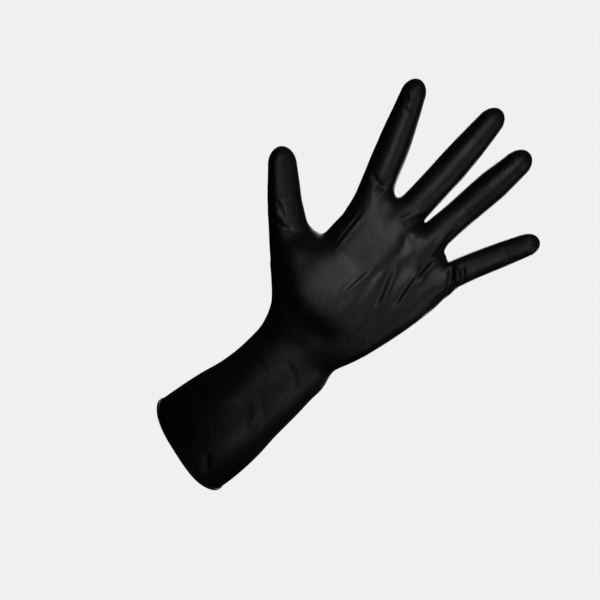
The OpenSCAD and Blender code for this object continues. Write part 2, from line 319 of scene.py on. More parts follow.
@dataclass
class Loft:
    """A body drawn through sections stacked up the forearm's axis.

    Attributes:
        heights: Height of each section, in millimetres.
        left: The thumb's-side edge of each section.
        right: The little finger's-side edge of each section.
        depth: Half depth of each section.
        square: Exponent of each section's curve; 2 is an ellipse.
        shift: How far each section stands towards the back of the hand.
    """

    heights: list[float]
    left: list[float]
    right: list[float]
    depth: list[float]
    square: list[float]
    shift: list[float]

    def reach(self) -> tuple[Array, Array]:
        """Finds the space that the loft fills.

        Returns:
            Its lowest and its highest corner.
        """
        deep = max(self.depth)
        return (vec(min(self.left), -deep, self.heights[0]),
                vec(max(self.right), deep, self.heights[-1] + self.depth[-1]))

    def curve(self, values: list[float], z: Array) -> Array:
        """A smooth curve through one value for each section.

        Args:
            values: The value at each section.
            z: Heights at which the curve is wanted, in millimetres.

        Returns:
            The curve at those heights.
        """
        h = np.array(self.heights)
        v = np.array(values)
        slopes = np.gradient(v, h)
        zc = np.clip(z, h[0], h[-1])
        i = np.clip(np.searchsorted(h, zc, side="right") - 1, 0, len(h) - 2)
        span = h[i + 1] - h[i]
        t = (zc - h[i]) / span
        return ((2 * t**3 - 3 * t**2 + 1) * v[i] + (t**3 - 2 * t**2 + t) * span * slopes[i]
                + (3 * t**2 - 2 * t**3) * v[i + 1] + (t**3 - t**2) * span * slopes[i + 1])

    def distance(self, x: Array, y: Array, z: Array) -> Array:
        """Distance field of the loft.

        Args:
            x: X of the points, in millimetres.
            y: Their Y.
            z: Their Z.

        Returns:
            The distance at each point, negative inside.
        """
        line = z[:1, :1, :] if z.ndim == 3 else z
        left, right = self.curve(self.left, line), self.curve(self.right, line)
        half, deep = (right - left) / 2, self.curve(self.depth, line)
        n = self.curve(self.square, line)
        over = np.maximum(line - self.heights[-1], 0.0)
        middle = (left + right) / 2
        place = [x - middle, y - self.curve(self.shift, line), over]
        return rounded(place, [half, deep, deep], n)


@dataclass
class Digit:
    """A finger or thumb, whose joints come from the frame.

    Attributes:
        name: Its name in the frame.
        tip_length: Length of its last part, in millimetres.
        halves: Half widths at its three joints and near its tip.
        depths: Depth over width at the same places.
        sway: How far its flesh lies to the little finger's side of the same places.
        droop: Bend of its last joint as the hand is held, in degrees.
        corner: How far from a joint its spine starts to curve.
        nose: How much longer than round its tip is.
        square: Exponent of its section.
        roll: Turn of its flesh about its length, in degrees.
        joints: Places of its three joints and of its tip's middle, in millimetres.
        axes: Directions that its joints turn about, the last one twice.
    """

    name: str
    tip_length: float
    halves: tuple[float, float, float, float]
    depths: tuple[float, float, float, float]
    sway: tuple[float, float, float, float] = (0.0, 0.0, 0.0, 0.0)
    droop: float = 5.0
    corner: float = 8.0
    nose: float = 1.35
    square: float = 2.2
    roll: float = 0.0
    joints: list[Array] = field(default_factory=list)
    axes: list[Array] = field(default_factory=list)

    # Where the creases on the back lie along the digit, from its second and third joint.
    CREASES = ((1, (-3.2, -0.6, 2.2)), (2, (-1.4, 1.0)))
    # The nail's edge, across and along the digit, in half widths of its tip.
    NAIL = ((-0.52, 0.55), (-0.56, -0.2), (-0.35, -0.75), (0.0, -0.9), (0.35, -0.75), (0.56, -0.2),
            (0.52, 0.55))

    def take_joints(self, joints: list[dict]) -> None:
        """Reads the digit's three joints from the frame.

        Args:
            joints: The frame's joints.
        """
        found = {j["name"]: j for j in joints}
        for part in ("root" if self.name == "thumb" else "knuckle",
                     "knuckle" if self.name == "thumb" else "middle", "end"):
            joint = found[f"{self.name}_{part}_bend"]
            self.joints.append(vec(*joint["pos_m"]) / MM)
            self.axes.append(unit(vec(*joint["axis"])))
        last = unit(self.joints[2] - self.joints[1])
        self.axes.append(self.axes[2])
        straight = turned(last, self.axes[2], self.droop)
        self.joints.append(self.joints[2] + straight * (self.tip_length - self.halves[3] * self.nose))

    def spine(self) -> tuple[Array, Array]:
        """The digit's middle line with rounded corners.

        Returns:
            Its points, and each point's place among the joints, from 0 to 3.
        """
        places = []
        for k, joint in enumerate(self.joints):
            leg = self.joints[min(k + 1, 3)] - self.joints[min(k, 2)]
            across = unit(vec(leg[2], 0.0, -leg[0]))
            places.append(joint + across * self.sway[k])
        line, share = [places[0]], [0.0]
        for k in (1, 2):
            before = self.corner / np.linalg.norm(places[k] - places[k - 1])
            after = self.corner / np.linalg.norm(places[k + 1] - places[k])
            first = places[k] + (places[k - 1] - places[k]) * before
            last = places[k] + (places[k + 1] - places[k]) * after
            for t in np.linspace(0.0, 1.0, 4):
                line.append(first * (1 - t) ** 2 + places[k] * 2 * t * (1 - t) + last * t**2)
                share.append(k - before * (1 - t) + after * t)
        return np.array(line + [places[3]]), np.array(share + [3.0])

    def limbs(self) -> list[Limb]:
        """Makes the short limbs that follow the digit's spine.

        Returns:
            The limbs, from the root to the tip.
        """
        line, share = self.spine()
        known = np.arange(4.0)
        halves, depths = np.interp(share, known, self.halves), np.interp(share, known, self.depths)
        last = len(line) - 2
        made = []
        for k in range(last + 1):
            axis = self.axes[min(int(share[k] + 0.5), 2)]
            side = turned(axis, unit(line[k + 1] - line[k]), self.roll)
            made.append(Limb(line[k], line[k + 1], side, tuple(halves[k:k + 2]), tuple(depths[k:k + 2]),
                             self.nose if k == last else 1.0, self.square))
        return made

    def leg(self, k: int) -> tuple[Array, Array]:
        """Direction of the digit after joint k as the palm is seen, and the direction across it."""
        leg = unit(flat(self.joints[min(k + 1, 3)] - self.joints[min(k, 2)]))
        return leg, vec(leg[2], 0.0, -leg[0])

    def across(self, k: int, along: float, reach: float) -> list[tuple[float, float]]:
        """A short bowed line across the digit near a joint.

        Args:
            k: Number of the joint.
            along: How far after the joint the line lies, in millimetres.
            reach: Half the line's length.

        Returns:
            Points (x, z) of the line.
        """
        leg, side = self.leg(k)
        middle = self.joints[k] + leg * along + side * self.sway[k]
        return seen([middle - side * reach, middle + leg * 0.12 * reach, middle + side * reach])

    def joint_creases(self) -> list["Crease"]:
        """Lays the fine creases that the film takes over the digit's joints, on both sides.

        Returns:
            The creases.
        """
        made = []
        for k, rows in self.CREASES:
            for n, along in enumerate(rows):
                reach = self.halves[k] * (0.75 - 0.12 * n)
                made.append(Crease(self.across(k, along, reach), -0.34, 0.75, 0.15, Side.BACK))
            made.append(Crease(self.across(k, 0.5, self.halves[k] * 0.7), -0.2, 0.9, 0.1))
        return made

    def nail(self) -> "Crease":
        """Lays the edge of the nail, which shows through the film.

        Returns:
            The crease.
        """
        leg, side = self.leg(3)
        middle = self.joints[3] + side * self.sway[3]
        r = self.halves[3]
        line = seen([middle + side * (a * r) + leg * (b * r) for a, b in self.NAIL])
        return Crease(line, -0.28, 0.6, 0.22, Side.BACK)


@dataclass
class HandForm:
    """The hand that fills the glove, as a distance field.

    Attributes:
        digits: The thumb and fingers.
        trunk: The forearm and the palm's block.
        pads: Flesh that rounds out the palm.
        webs: Flesh between the fingers.
        palm_fillet: Fillet between the palm's parts, in millimetres.
        root_fillet: Fillet between the fingers and the palm.
        web_fillet: Fillet between neighbouring fingers.
        far: Distance that stands for all that is farther away.
        margin: How far round a shape its field is drawn.
    """

    digits: list[Digit]
    trunk: Loft
    pads: list[Pad]
    webs: list[Pad]
    palm_fillet: float = 9.0
    root_fillet: float = 5.0
    web_fillet: float = 2.2
    far: float = 60.0
    margin: float = 14.0

    def shapes(self) -> tuple[list[list], list[list]]:
        """Sorts the shapes into groups that are melted together one after another.

        Returns:
            The groups of the palm and the thumb, and the groups of the fingers.
        """
        thumb = [limb for d in self.digits if d.name == "thumb" for limb in d.limbs()]
        fingers = [d.limbs() for d in self.digits if d.name != "thumb"]
        body = [[self.trunk], *([pad] for pad in self.pads), thumb]
        return body, fingers + [[web] for web in self.webs]

    def sample(self, xs: Array, ys: Array, zs: Array) -> Array:
        """Samples the field on a grid.

        Args:
            xs: Grid lines along X, in millimetres.
            ys: Grid lines along Y.
            zs: Grid lines along Z.

        Returns:
            The distance at each grid point, negative inside.
        """
        palm = np.full((len(xs), len(ys), len(zs)), self.far)
        fingers = palm.copy()

        def pour(target: Array, shapes: list, fillet: float) -> None:
            """Melts a group of shapes into a field where they reach.

            Args:
                target: The field, which is changed.
                shapes: The group.
                fillet: Size of the fillet, in millimetres.
            """
            lows, highs = zip(*(s.reach() for s in shapes))
            low, high = np.min(lows, axis=0) - self.margin, np.max(highs, axis=0) + self.margin
            cut = tuple(slice(int(np.searchsorted(g, a)), int(np.searchsorted(g, b)))
                        for g, a, b in zip((xs, ys, zs), low, high))
            x, y, z = (xs[cut[0], None, None], ys[None, cut[1], None], zs[None, None, cut[2]])
            near = np.minimum.reduce([s.distance(x, y, z) for s in shapes])
            target[cut] = melt(target[cut], near, fillet)

        body, digits = self.shapes()
        for shapes in body:
            pour(palm, shapes, self.palm_fillet)
        for shapes in digits:
            pour(fingers, shapes, self.web_fillet)
        return melt(palm, fingers, self.root_fillet)


def surface_net(values: Array, xs: Array, ys: Array, zs: Array) -> tuple[Array, Array]:
    """Draws the zero surface of a sampled field as quads, one vertex to a mixed cell.

    Args:
        values: The field, negative inside.
        xs: Grid lines along X.
        ys: Grid lines along Y.
        zs: Grid lines along Z.

    Returns:
        The vertices, and the quads as rows of four vertex numbers, facing outwards.
    """
    inside = values < 0
    corner = [inside[i:inside.shape[0] - 1 + i, j:inside.shape[1] - 1 + j, k:inside.shape[2] - 1 + k]
              for i in (0, 1) for j in (0, 1) for k in (0, 1)]
    count = np.sum(corner, axis=0)
    cells = np.argwhere((count > 0) & (count < 8))
    number = np.full(count.shape, -1, np.int64)
    number[tuple(cells.T)] = np.arange(len(cells))
    total, hits = np.zeros((len(cells), 3)), np.zeros(len(cells))
    for axis in range(3):
        others = [a for a in range(3) if a != axis]
        for shift in ((0, 0), (0, 1), (1, 0), (1, 1)):
            first = cells.copy()
            first[:, others[0]] += shift[0]
            first[:, others[1]] += shift[1]
            second = first.copy()
            second[:, axis] += 1
            va, vb = values[tuple(first.T)], values[tuple(second.T)]
            crossed = (va < 0) != (vb < 0)
            t = np.where(crossed, va / np.where(crossed, va - vb, 1.0), 0.0)
            point = first.astype(float)
            point[:, axis] += t
            total += point * crossed[:, None]
            hits += crossed
    grid = total / hits[:, None]
    steps = vec(xs[1] - xs[0], ys[1] - ys[0], zs[1] - zs[0])
    points = grid * steps + vec(xs[0], ys[0], zs[0])
    quads = []
    for axis in range(3):
        first = [slice(None)] * 3
        second = [slice(None)] * 3
        first[axis], second[axis] = slice(0, -1), slice(1, None)
        a, b = inside[tuple(first)], inside[tuple(second)]
        edges = np.argwhere(a != b)
        others = [(axis + 1) % 3, (axis + 2) % 3]
        keep = np.all([(edges[:, o] > 0) & (edges[:, o] < count.shape[o]) for o in others], axis=0)
        edges = edges[keep]
        ring = []
        for back in ((1, 1), (0, 1), (0, 0), (1, 0)):
            cell = edges.copy()
            cell[:, others[0]] -= back[0]
            cell[:, others[1]] -= back[1]
            ring.append(number[tuple(cell.T)])
        quad = np.stack(ring, axis=1)
        leaving = a[tuple(edges.T)]
        quads.append(np.where(leaving[:, None], quad, quad[:, ::-1]))
    return points, np.concatenate(quads)


def vertex_normals(points: Array, quads: Array) -> Array:
    """Area-weighted normals of a quad mesh.

    Args:
        points: The vertices.
        quads: The faces.

    Returns:
        The normal at each vertex, of length one.
    """
    a, b, c, d = (points[quads[:, k]] for k in range(4))
    face = np.cross(c - a, d - b)
    total = np.zeros_like(points)
    for axis in range(3):
        for corner in range(4):
            total[:, axis] += np.bincount(quads[:, corner], face[:, axis], len(points))
    return unit_rows(total)


def relax(points: Array, quads: Array, rounds: int, held: Array) -> Array:
    """Evens out a quad mesh without shrinking it.

    Args:
        points: The vertices.
        quads: The faces.
        rounds: Number of paired passes.
        held: True for vertices that stay.

    Returns:
        The moved vertices.
    """
    count = len(points)
    a = np.concatenate([quads[:, k] for k in (0, 1, 2, 3)])
    b = np.concatenate([quads[:, k] for k in (1, 2, 3, 0)])
    degree = np.bincount(a, minlength=count) + np.bincount(b, minlength=count)
    for share in (SMOOTH, UNSHRINK) * rounds:
        mean = np.empty_like(points)
        for axis in range(3):
            value = points[:, axis]
            mean[:, axis] = (np.bincount(a, value[b], count) + np.bincount(b, value[a], count)) / degree
        step = (mean - points) * share
        step[held] = 0.0
        points = points + step
    return points


class Drift:
    """Smooth seeded noise in space, between about -1 and 1.

    Attributes:
        lattice: The noise's values, which repeat after SIZE lumps.
    """

    SIZE = 32

    def __init__(self, seed: int) -> None:
        """Fills the noise's lattice from a seed."""
        self.lattice = np.random.default_rng(seed).uniform(-1.0, 1.0, (self.SIZE,) * 3)

    def at(self, points: Array, scale: tuple[float, float, float]) -> Array:
        """Noise at some points.

        Args:
            points: The points, in millimetres.
            scale: Size of the noise's lumps along each direction.

        Returns:
            One value a point.
        """
        p = points / np.array(scale)
        base = np.floor(p).astype(int)
        t = ease(p - base)
        value = np.zeros(len(points))
        for i in (0, 1):
            for j in (0, 1):
                for k in (0, 1):
                    share = (np.where(i, t[:, 0], 1 - t[:, 0]) * np.where(j, t[:, 1], 1 - t[:, 1])
                             * np.where(k, t[:, 2], 1 - t[:, 2]))
                    corner = (base + (i, j, k)) % self.SIZE
                    value += share * self.lattice[tuple(corner.T)]
        return value


@dataclass
class Crease:
    """A ridge or groove that the film takes along a line.

    Attributes:
        line: Points (x, z) of the line, in millimetres.
        height: Height of the ridge; less than zero is a groove.
        width: Half width.
        trough: Depth of the valley beside it; less than zero puts it on the other side.
        side: The face of the hand it lies on.
    """

    line: list[tuple[float, float]]
    height: float
    width: float
    trough: float = 0.0
    side: Side = Side.PALM

    # Share of the line over which each end fades, and half widths from the line to the valley.
    FADE = 0.3
    BESIDE = 1.5

    def lift(self, points: Array, normals: Array) -> Array:
        """How far the crease lifts each point along its normal.

        Args:
            points: The points, in millimetres.
            normals: Their normals.

        Returns:
            The lift of each point, in millimetres.
        """
        px, pz = points[:, 0], points[:, 2]
        best = np.full(len(points), np.inf)
        signed = np.zeros(len(points))
        travel = np.zeros(len(points))
        corners = np.array(self.line)
        legs = np.diff(corners, axis=0)
        lengths = np.linalg.norm(legs, axis=1)
        before = 0.0
        for corner, leg, length in zip(corners[:-1], legs, lengths):
            t = ((px - corner[0]) * leg[0] + (pz - corner[1]) * leg[1]) / length**2
            tc = np.clip(t, 0.0, 1.0)
            dx, dz = px - corner[0] - leg[0] * tc, pz - corner[1] - leg[1] * tc
            d = np.hypot(dx, dz)
            closer = d < best
            best = np.where(closer, d, best)
            signed = np.where(closer, (dx * leg[1] - dz * leg[0]) / length, signed)
            travel = np.where(closer, before + tc * length, travel)
            before += length
        share = travel / before
        fade = ease(share / self.FADE) * ease((1.0 - share) / self.FADE)
        facing = ease(self.side.value * normals[:, 1] / FACING)
        beside = signed - math.copysign(self.BESIDE * self.width, self.trough)
        along = best**2 - signed**2
        profile = self.height * np.exp(-((best / self.width) ** 2))
        valley = abs(self.trough) * np.exp(-(beside**2 + along) / self.width**2)
        return (profile - valley) * fade * facing


@dataclass
class Film:
    """The glove's film, drawn over the hand's form.

    Attributes:
        form: The hand.
        creases: Ridges and grooves of the film.
        step: Distance between grid lines, in millimetres.
        wall: Thickness of the film.
        rim: Height of the film's lower edge.
        dip: How far the edge hangs lower on the palm's side.
        cuff: Radius of the cuff.
        slack: Height over which the hang of the edge dies out.
        passes: Pairs of relaxing passes.
        points: The film's vertices, once it is drawn.
        quads: Its faces.
        normals: Its normals at the vertices.
    """

    form: HandForm
    creases: list[Crease]
    step: float = 1.0
    wall: float = 0.3
    rim: float = 0.7
    dip: float = 2.4
    cuff: float = 32.0
    slack: float = 30.0
    passes: int = 5
    points: Array = field(default_factory=lambda: np.zeros((0, 3)))
    quads: Array = field(default_factory=lambda: np.zeros((0, 4), int))
    normals: Array = field(default_factory=lambda: np.zeros((0, 3)))

    # Space that holds the glove: lowest x and y, and highest corner.
    LOW, HIGH = (-126.0, -42.0), (44.0, 42.0, 294.0)
    # Seed, height and lump sizes of the film's unevenness, from broad to fine.
    UNEVEN = ((6, 0.3, (24.0, 24.0, 30.0)), (3, 0.1, (9.0, 9.0, 14.0)), (4, 0.035, (4.0, 4.0, 6.0)))
    # Seed, height and lump sizes of the drawn folds in the palm's hollow.
    FOLDS = (5, 0.26, (4.5, 30.0, 26.0))

    def draw(self) -> None:
        """Takes the surface from the form and gives it its wrinkles."""
        low = (*self.LOW, self.rim - 2 * self.step)
        xs, ys, zs = (np.arange(a, b, self.step) for a, b in zip(low, self.HIGH))
        values = self.form.sample(xs, ys, zs)
        points, quads = surface_net(values, xs, ys, zs)
        used, quads = compact(quads[(points[quads][:, :, 2] > self.rim).all(axis=1)], len(points))
        points = points[used]
        edge = self.edge_vertices(quads)
        points[edge, 2] = self.rim
        points = relax(points, quads, self.passes, edge)
        normals = vertex_normals(points, quads)
        points = points + normals * self.wrinkles(points, normals)[:, None]
        hang = 0.6 * ease(points[:, 0] / self.cuff + 0.2) + ease(-points[:, 1] / self.cuff)
        points[:, 2] -= self.dip * ease((self.slack - points[:, 2]) / self.slack) * hang
        self.points, self.quads = points, quads
        self.normals = vertex_normals(points, quads)
        LOG.info("film drawn: %d points, %d faces", len(points), len(quads))

    @staticmethod
    def edges(quads: Array) -> tuple[Array, Array]:
        """Directed edges that have no opposite.

        Args:
            quads: The faces.

        Returns:
            The start vertices and the end vertices of those edges.
        """
        a = quads.reshape(-1)
        b = np.roll(quads, -1, axis=1).reshape(-1)
        big = int(quads.max()) + 1
        forward, backward = a * big + b, b * big + a
        lone = ~np.isin(forward, backward)
        return a[lone], b[lone]

    def edge_vertices(self, quads: Array) -> Array:
        """Vertices on the open edge of the cuff."""
        return np.unique(self.edges(quads)[0])

    def wrinkles(self, points: Array, normals: Array) -> Array:
        """How far the film's wrinkles lift each point along its normal.

        Args:
            points: The points, in millimetres.
            normals: Their normals.

        Returns:
            The lift of each point, in millimetres.
        """
        lift = np.zeros(len(points))
        for crease in self.creases:
            lift += crease.lift(points, normals)
        x, z = points[:, 0], points[:, 2]
        calm = ease((z - 2.0) / 12.0)
        palm_side = ease(-normals[:, 1] / FACING)
        drawn = np.stack([x * 0.92 + z * 0.39, points[:, 1], z * 0.92 - x * 0.39], axis=1)
        seed, height, lumps = self.FOLDS
        folds = 1.0 - 2.0 * np.abs(Drift(seed).at(drawn, lumps))
        hollow = ease((z - 118.0) / 20.0) * ease((208.0 - z) / 20.0) * ease((x + 34.0) / 14.0)
        lift += height * folds * hollow * palm_side
        for seed, height, lumps in self.UNEVEN:
            lift += height * Drift(seed).at(points, lumps) * calm
        return lift


# ---- Dividing the film at the joints -------------------------------------------------------


@dataclass
class Region:
    """One piece of the film, and how it follows the bodies.

    Attributes:
        name: Name of the piece.
        bodies: The body it rides on, or the two bodies that it joins.
        nodes: The CAD nodes it stands for.
        slot: The record's material slot; not used.
        start: Where a joining piece leaves the first body, in metres.
        end: Where it is all on the second body.
    """

    name: str
    bodies: tuple[str, ...]
    nodes: tuple[str, ...]
    slot: str
    start: Array | None = None
    end: Array | None = None


@dataclass
class Division:
    """Divides the film into regions, one for each joint it crosses.

    Attributes:
        film: The film.
        joints: Name and place of each joint, in millimetres.
        wrist_start: Height at which the wrist's film starts.
        wrist_end: Height at which it ends.
        palm_top: Height under which no film is a finger's.
        thumb_cuts: Reaches at which the thumb's film is cut.
        root_reach: How far under its knuckle a finger's film starts.
        lap: How far before a finger's joint its film is cut.
        root_bend: Length over which the film bends at a knuckle.
        bend: Length over which it bends at the next joints.
    """

    film: Film
    joints: dict[str, Array]
    wrist_start: float = 60.0
    wrist_end: float = 101.0
    palm_top: float = 140.0
    thumb_cuts: tuple[float, float] = (36.0, 60.0)
    root_reach: float = 18.0
    lap: float = 9.0
    root_bend: float = 30.0
    bend: float = 18.0

    FINGERS = ("index", "middle", "ring", "little")

    def bone(self, name: str) -> tuple[Array, Array, float, float]:
        """How a finger lies.

        Args:
            name: The finger.

        Returns:
            Its knuckle, its direction, and the lengths to its next two joints.
        """
        a, b, c = (self.joints[f"{name}_{k}_bend"] for k in ("knuckle", "middle", "end"))
        u = unit(flat(b - a))
        return a, u, float((b - a) @ u), float((c - a) @ u)

    @staticmethod
    def along(points: Array, at: Array, u: Array) -> Array:
        """How far each point is along the direction u from a place, as the palm is seen."""
        return (points[:, 0] - at[0]) * u[0] + (points[:, 2] - at[2]) * u[2]

    def thumb_reach(self, p: Array) -> tuple[Array, Array]:
        """How the film follows the thumb.

        Args:
            p: Points of the film, in millimetres.

        Returns:
            How far each point is along the thumb, and the share of the root's motion that it takes.
        """
        root, knuckle = self.joints["thumb_root_bend"], self.joints["thumb_knuckle_bend"]
        u = unit(flat(knuckle - root))
        rel = p - root
        a = rel[:, 0] * u[0] + rel[:, 2] * u[2]
        h = rel[:, 0] * u[2] - rel[:, 2] * u[0]
        n = -0.67 * rel[:, 0] - 0.74 * rel[:, 2]
        # The web's side counts as nearer to the root, so that the cuts slant down to the web.
        q = a - 1.2 * np.maximum(h, 0) * (1 - ease((a - 55.0) / 20.0)) - 3.0 * np.maximum(h - 16.0, 0)
        # The share grows along the thumb, across the web's fold and up from the wrist.
        w = ease((a - 6.0) / 30.0) * ease((n + 15.0) / 13.0) * ease((p[:, 2] - self.wrist_end) / 9.0)
        return q, np.where(q > 30.0, np.maximum(w, ease((q - 30.0) / 6.0)), w)

    def label(self) -> tuple[list[Region], Array, dict[str, Array]]:
        """Names the region of each face.

        Returns:
            The regions, the region number of each face, and each region's blend shares by vertex.
        """
        p = self.film.points
        centres = p[self.film.quads].mean(axis=1)
        regions, weights = [], {}
        label = np.zeros(len(centres), int)

        def add(region: Region, mask: Array, weight: Array | None = None) -> None:
            """Adds a region and gives it its faces.

            Args:
                region: The region.
                mask: True for its faces.
                weight: Its share of the second body's motion, by vertex.
            """
            label[mask] = len(regions)
            regions.append(region)
            if weight is not None:
                weights[region.name] = weight

        height = centres[:, 2]
        add(Region("palm_film", ("palm",), ("palm",), "film"), np.ones(len(centres), bool))
        add(Region("cuff_film", ("cuff",), ("cuff_sleeve", "cuff_band"), "film"),
            height < self.wrist_start)
        wrist = self.joints["wrist_bend"]
        add(Region("wrist_film", ("cuff", "palm"), ("wrist_fold",), "film_fold",
                   vec(wrist[0], wrist[1], self.wrist_start + 2) * MM,
                   vec(wrist[0], wrist[1], self.wrist_end - 2) * MM),
            (height >= self.wrist_start) & (height < self.wrist_end))
        face_reach, face_root = self.thumb_reach(centres)
        self.add_thumb(height >= self.wrist_end, face_reach, face_root, add)
        fingers = (height > self.palm_top) & (face_root <= 0.0) & (face_reach < self.thumb_cuts[0])
        self.add_fingers(centres, fingers, add)
        for finger in self.FINGERS:
            self.hold_webs(finger, regions, label, weights)
        return regions, label, weights

    def add_thumb(self, free: Array, face_reach: Array, face_root: Array,
                  add: Callable[..., None]) -> None:
        """Adds the thumb's regions.

        Args:
            free: True for faces that can be the thumb's.
            face_reach: How far each face is along the thumb.
            face_root: Each face's share of the thumb root's motion.
            add: Adds a region with its faces and shares.
        """
        reach, root = self.thumb_reach(self.film.points)
        root_at, knuckle_at, end_at = (self.joints[f"thumb_{k}_bend"]
                                       for k in ("root", "knuckle", "end"))
        length = float(np.linalg.norm((knuckle_at - root_at)[[0, 2]]))
        total = float((end_at - root_at) @ unit(knuckle_at - root_at))
        low, high = self.thumb_cuts
        add(Region("thumb_root_film", ("palm", "thumb_base"),
                   ("thumb_web", "thumb_root_fold", "thumb_base"), "film_fold",
                   root_at * MM, knuckle_at * MM),
            free & (face_root > 0.0) & (face_reach < low), root)
        add(Region("thumb_knuckle_film", ("thumb_base", "thumb_middle"),
                   ("thumb_knuckle_fold", "thumb_middle"), "film_fold", root_at * MM, end_at * MM),
            free & (face_reach >= low) & (face_reach < high),
            ease((reach - low - 1.5) / (2 * (length - low) + 2.0)))
        add(Region("thumb_end_film", ("thumb_middle", "thumb_tip"), ("thumb_end_fold", "thumb_tip"),
                   "film_fold", knuckle_at * MM, end_at * MM),
            free & (face_reach >= high),
            ease((reach - high - 1.5) / (2 * (total - high) - 3.0)))

    def add_fingers(self, centres: Array, free: Array, add: Callable[..., None]) -> None:
        """Adds the fingers' regions.

        Args:
            centres: Middles of the faces, in millimetres.
            free: True for faces that can be a finger's.
            add: Adds a region with its faces and shares.
        """
        aside = []
        for name in self.FINGERS:
            at, u, _, _ = self.bone(name)
            aside.append(np.abs((centres[:, 0] - at[0]) * u[2] - (centres[:, 2] - at[2]) * u[0]))
        nearest = np.argmin(aside, axis=0)
        for number, name in enumerate(self.FINGERS):
            at, u, first, second = self.bone(name)
            a, b, c = (self.joints[f"{name}_{k}_bend"] * MM for k in ("knuckle", "middle", "end"))
            faces, own = self.along(centres, at, u), self.along(self.film.points, at, u)
            mine = (nearest == number) & free
            cuts = (-self.root_reach, first - self.lap, second - self.lap, np.inf)
            bends = ((4.0, self.root_bend), (1.0, self.bend), (1.0, self.bend))
            parts = (("knuckle", "palm", f"{name}_base", a, b),
                     ("middle", f"{name}_base", f"{name}_middle", a, b),
                     ("end", f"{name}_middle", f"{name}_tip", b, c))
            for low, high, (wait, bend), (part, before, after, start, end) in zip(
                    cuts, cuts[1:], bends, parts):
                add(Region(f"{name}_{part}_film", (before, after), (f"{name}_{part}_fold", after),
                           "film_fold", start, end),
                    mine & (faces >= low) & (faces < high), ease((own - low - wait) / bend))

    def hold_webs(self, finger: str, regions: list[Region], label: Array,
                  weights: dict[str, Array]) -> None:
        """Holds a finger's film still where it meets its neighbours' film.

        Args:
            finger: The finger.
            regions: The regions.
            label: The region number of each face.
            weights: Each region's blend shares by vertex, in which the finger's are changed.
        """
        numbers = {r.name: i for i, r in enumerate(regions)}
        quads, p = self.film.quads, self.film.points
        mine = np.unique(quads[label == numbers[f"{finger}_knuckle_film"]])
        others = [numbers[f"{f}_knuckle_film"] for f in self.FINGERS if f != finger]
        shared = np.intersect1d(mine, np.unique(quads[np.isin(label, others)]))
        at, u, first, _ = self.bone(finger)
        room = first - self.lap - float(self.along(p[shared], at, u).max())
        radius = min(self.lap, room - 0.5)
        tree = KDTree(len(shared))
        for i, v in enumerate(shared):
            tree.insert(p[v], i)
        tree.balance()
        gap = np.array([tree.find(p[v])[2] for v in mine])
        weights[f"{finger}_knuckle_film"][mine] *= ease(gap / radius)


# ---- Materials ----------------------------------------------------------------------------


@dataclass(frozen=True)
class FilmFinish:
    """Finish of the dipped film.

    Attributes:
        name: Name of the material.
        colour: Main colour.
        bloom: Colour of the thin dull bloom.
        rough: Lowest and highest roughness.
        grain: Height of the fine grain, in metres.
        peel: Height of the orange peel, in metres.
    """

    name: str
    colour: tuple[float, float, float] = (0.0042, 0.0041, 0.0046)
    bloom: tuple[float, float, float] = (0.0055, 0.0054, 0.0062)
    rough: tuple[float, float] = (0.36, 0.5)
    grain: float = 0.00002
    peel: float = 0.00008

    def make(self, groups: "Groups") -> bpy.types.Material:
        """Builds the material from the shared groups.

        Args:
            groups: The shared groups, already built.

        Returns:
            The material.
        """
        material = bpy.data.materials.new(self.name)
        material.use_nodes = True
        tree = material.node_tree
        shader = tree.nodes["Principled BSDF"]
        where, surface = tree.nodes.new("ShaderNodeTexCoord"), tree.nodes.new("ShaderNodeGroup")
        surface.node_tree = groups.surface
        surface.inputs["Colour"].default_value = (*self.colour, 1)
        surface.inputs["Bloom"].default_value = (*self.bloom, 1)
        surface.inputs["Smooth"].default_value, surface.inputs["Dull"].default_value = self.rough
        bump = tree.nodes.new("ShaderNodeBump")
        bump.inputs["Distance"].default_value = 1.0
        bump.inputs["Strength"].default_value = 1.0
        surface.inputs["Grain"].default_value = self.grain
        surface.inputs["Peel"].default_value = self.peel
        wire(tree, (where, "Object", surface, "Vector"), (surface, "Height", bump, "Height"),
             (bump, "Normal", shader, "Normal"), (surface, "Colour", shader, "Base Color"),
             (surface, "Roughness", shader, "Roughness"))
        shader.inputs["IOR"].default_value = 1.5
        return material


